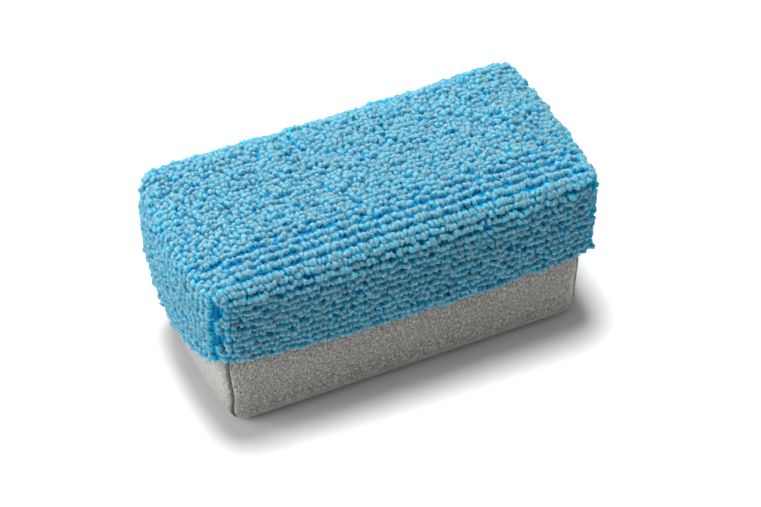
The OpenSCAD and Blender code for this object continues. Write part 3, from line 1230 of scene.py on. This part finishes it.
# %% Sewing the eight seams
STITCH_TREE = stitch_tree()
TERRY_THREAD = thread_material("terry_thread", (0.0, 0.22, 0.48), (0.02, 0.34, 0.62))
SUEDE_THREAD = thread_material("suede_thread", (0.16, 0.155, 0.145), (0.30, 0.29, 0.27))
CAP_SEAM_FROM = 2
TRAY_SEAM_FROM = FOOT_ROWS

threads = {}
for corner in ("front_left", "front_right", "back_left", "back_right"):
    wall, end = corner.split("_")
    face = -1 if wall == "front" else 1
    side, at = (-1, 0) if end == "left" else (1, -1)
    for node, column, spun in (
        ("terry_seam_" + corner, cap_skin[cap_index[wall][at, CAP_SEAM_FROM:]], TERRY_THREAD),
        ("suede_seam_" + corner, tray_skin[tray_index[wall][at, TRAY_SEAM_FROM:]][::-1], SUEDE_THREAD),
    ):
        threads[node] = sewn(node + "_thread", column, side, face, spun)
print("threads:", {name: len(thread.data.polygons) for name, thread in threads.items()})

# %% [markdown]
# ## Hooking the pieces to the frame
#
# The block has one body, so every piece rides on it. Each hides the CAD node that it stands
# for, and the cap, its pile and its fuzz together stand for the terry's node. The areas of
# the two cloths and the film are worked out from the size of the cross that each was cut from.

# %% Ride and replace
for piece in [terry_cover, *pile, *fuzz]:
    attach(piece, BODY)
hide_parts("terry_cover")
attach(suede_cover, BODY)
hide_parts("suede_cover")
for piece, node, finish in ((foam_core, "foam_core", "foam"), (barrier_film, "barrier_film", "film"),
                            (bond_strip, "bond_strip", "adhesive")):
    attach(piece, BODY)
    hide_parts(node)
for node, thread in threads.items():
    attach(thread, BODY)
    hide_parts(node)

cap_area = 4 * HALF_W * HALF_L + 4 * (HALF_W + HALF_L) * (TOP - CUT_CORNER + SIDE_DIP)
film_drop = film_top - film_low.z
film_area = 4 * film_w * film_l + 4 * (film_w + film_l) * film_drop
tray_area = 4 * tray_w * tray_l + 4 * (tray_w + tray_l) * TRAY_TOP
areas = [round(1e4 * area, 1) for area in (cap_area, film_area, tray_area)]
print("cloth areas of the cap, the film and the tray in square centimetres:", areas)

# %% [markdown]
# ## Studio
#
# The block stands on a wide pale floor under one soft lamp, almost straight above it and a
# little behind, so the walls are in soft shade and the pile of the top reads. A large faint
# lamp at the left stands for a white card that brightens that end, and an even white world
# fills the rest. The Standard view transform keeps the colours as they were mixed.

# %% Floor and light
FLOOR_SIZE = 3.0


def pale_floor():
    """A wide pale floor."""
    points = np.array([(-1, -1, 0), (1, -1, 0), (1, 1, 0), (-1, 1, 0)]) * FLOOR_SIZE
    floor = new_object("floor", points, np.array([[0, 1, 2, 3]]))
    material, tree, shader, place = new_material("floor_paper")
    grain = noise(tree, place, 40).outputs["Fac"]
    white = ramp(tree, grain, [(0.0, (0.88, 0.88, 0.88)), (1.0, (0.9, 0.9, 0.9))])
    tree.links.new(white, shader.inputs["Base Color"])
    shader.inputs["Roughness"].default_value = 0.9
    shader.inputs["Specular IOR Level"].default_value = 0.1
    floor.data.materials.append(material)


def soft_light(name, place, size, power):
    """A round soft light that looks at the block's middle."""
    lamp = bpy.data.lights.new(name, "AREA")
    lamp.shape = "DISK"
    lamp.size = size
    lamp.energy = power
    made = bpy.data.objects.new(name, lamp)
    made.location = place
    aim = Vector((0, 0, TOP / 2)) - Vector(place)
    made.rotation_euler = aim.to_track_quat("-Z", "Y").to_euler()
    bpy.context.scene.collection.objects.link(made)


pale_floor()
soft_light("key", place=(-0.02, 0.16, 1.0), size=0.42, power=14.6)
soft_light("left_card", place=(-0.85, 0.2, 0.3), size=0.8, power=7)
world = bpy.data.worlds.new("studio")
world.use_nodes = True
background = world.node_tree.nodes["Background"]
background.inputs["Color"].default_value = (1, 1, 1, 1)
background.inputs["Strength"].default_value = 0.235
bpy.context.scene.world = world
bpy.context.scene.view_settings.view_transform = "Standard"
print("lamps:", [lamp.name for lamp in bpy.data.lights])

# %% [markdown]
# ## Camera
#
# A long lens at arm's length keeps the block's edges nearly parallel, as in a catalogue. The
# camera looks down from the front left. Its place comes from two angles and a distance,
# which are easier to change than three coordinates, and a small roll trims the view.

# %% Camera
CAM_AZIMUTH = math.radians(25.3)
CAM_ELEVATION = math.radians(44.4)
CAM_ROLL = math.radians(0.37)
CAM_DISTANCE = 0.642
CAM_LOOK = Vector((0.0021, -0.0022, 0.020))
CAM_LENS = 138.75

forward = Vector((
    math.sin(CAM_AZIMUTH) * math.cos(CAM_ELEVATION),
    math.cos(CAM_AZIMUTH) * math.cos(CAM_ELEVATION),
    -math.sin(CAM_ELEVATION),
))
right = forward.cross(Vector((0, 0, 1))).normalized()
up = right.cross(forward)
level_right = right * math.cos(CAM_ROLL) + up * math.sin(CAM_ROLL)
level_up = up * math.cos(CAM_ROLL) - right * math.sin(CAM_ROLL)
camera_data = bpy.data.cameras.new("camera")
camera_data.sensor_width = 36
camera_data.lens = CAM_LENS
camera = bpy.data.objects.new("camera", camera_data)
turn = Matrix((level_right, level_up, -forward)).transposed()
camera.matrix_world = Matrix.Translation(CAM_LOOK - forward * CAM_DISTANCE) @ turn.to_4x4()
bpy.context.scene.collection.objects.link(camera)
bpy.context.scene.camera = camera
print("camera at", [round(part, 3) for part in camera.matrix_world.translation])
